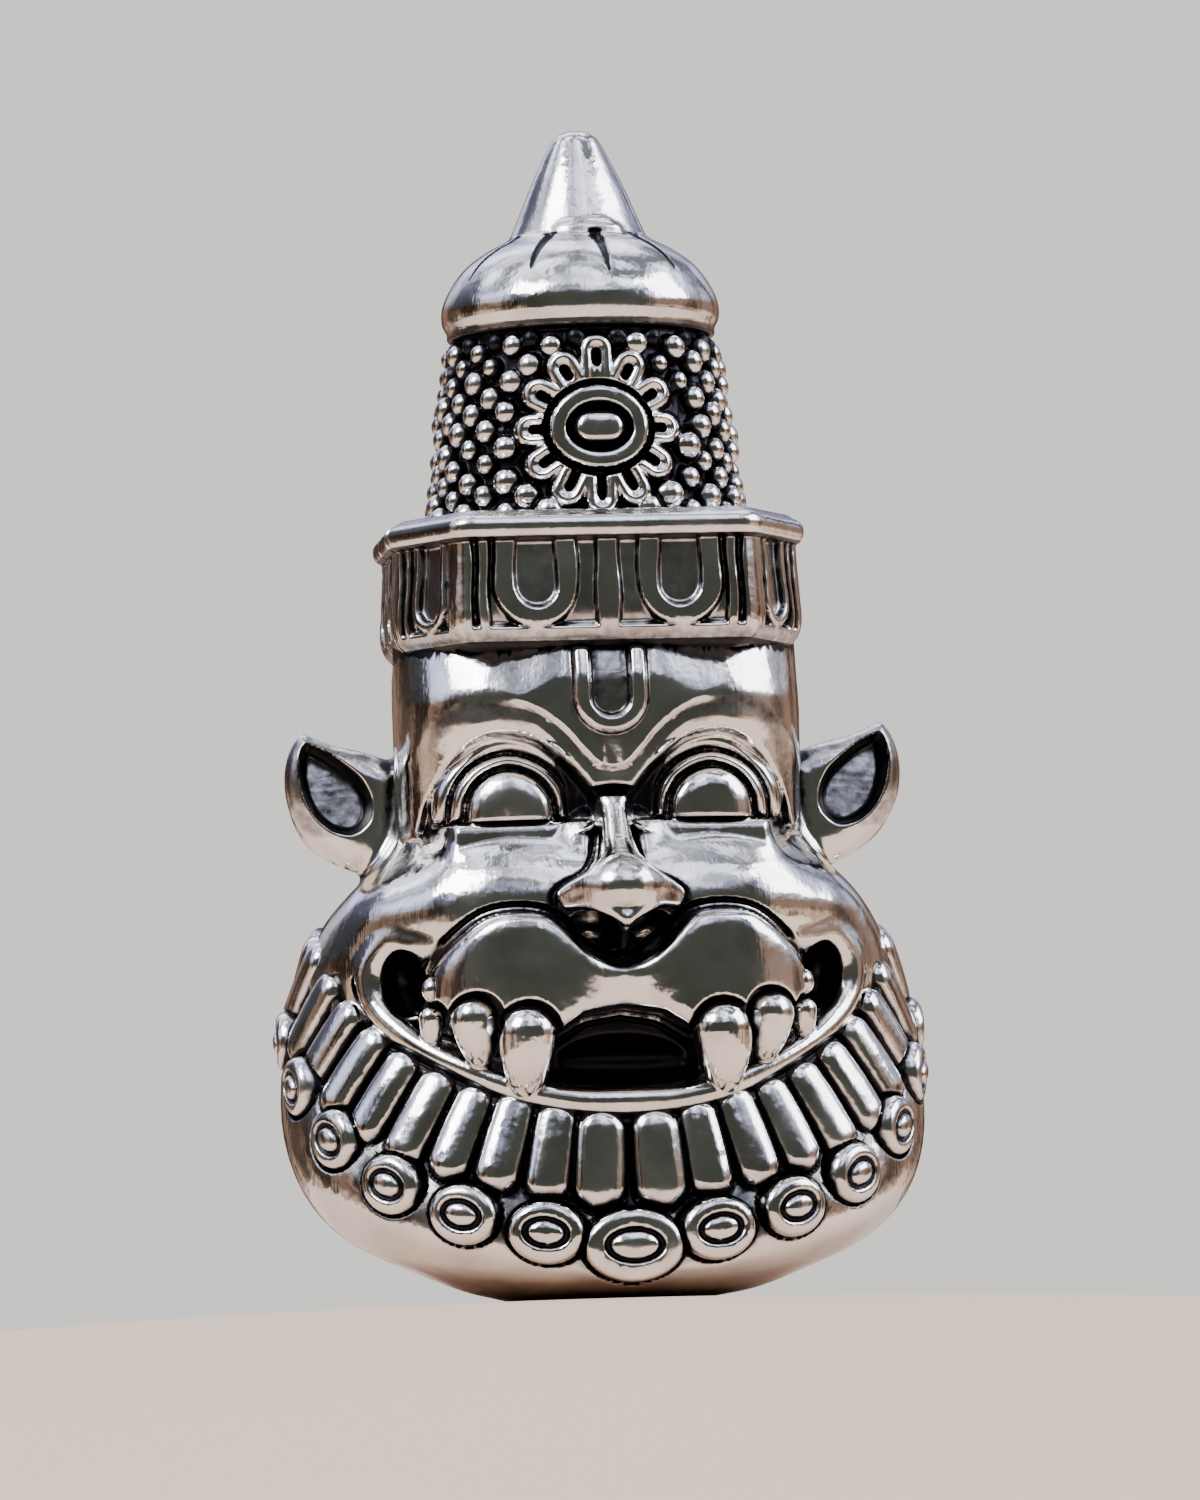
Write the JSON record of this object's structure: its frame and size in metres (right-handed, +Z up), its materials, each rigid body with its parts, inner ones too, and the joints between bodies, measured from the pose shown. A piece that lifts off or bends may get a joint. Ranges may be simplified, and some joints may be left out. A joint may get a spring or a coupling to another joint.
{
  "type": "narasimha head statue",
  "caption": "Small cast silver lion-faced deity head with a tall beaded crown, fangs, pointed ears and a garland collar, standing on its underside.",
  "frame": {"origin": "centre of the bounding box's footprint, in the plane of the small flat spot under the collar", "axes": "+Z up through the crown's finial, the face looks along -Y, +X towards the viewer's right"},
  "size_m": [0.0224, 0.0178, 0.04],
  "materials": {
    "silver": "polished cast silver with black oxide left in the recesses"
  },
  "bodies": {
    "root": {"narasimha_head": "silver"}
  },
  "joints": []
}
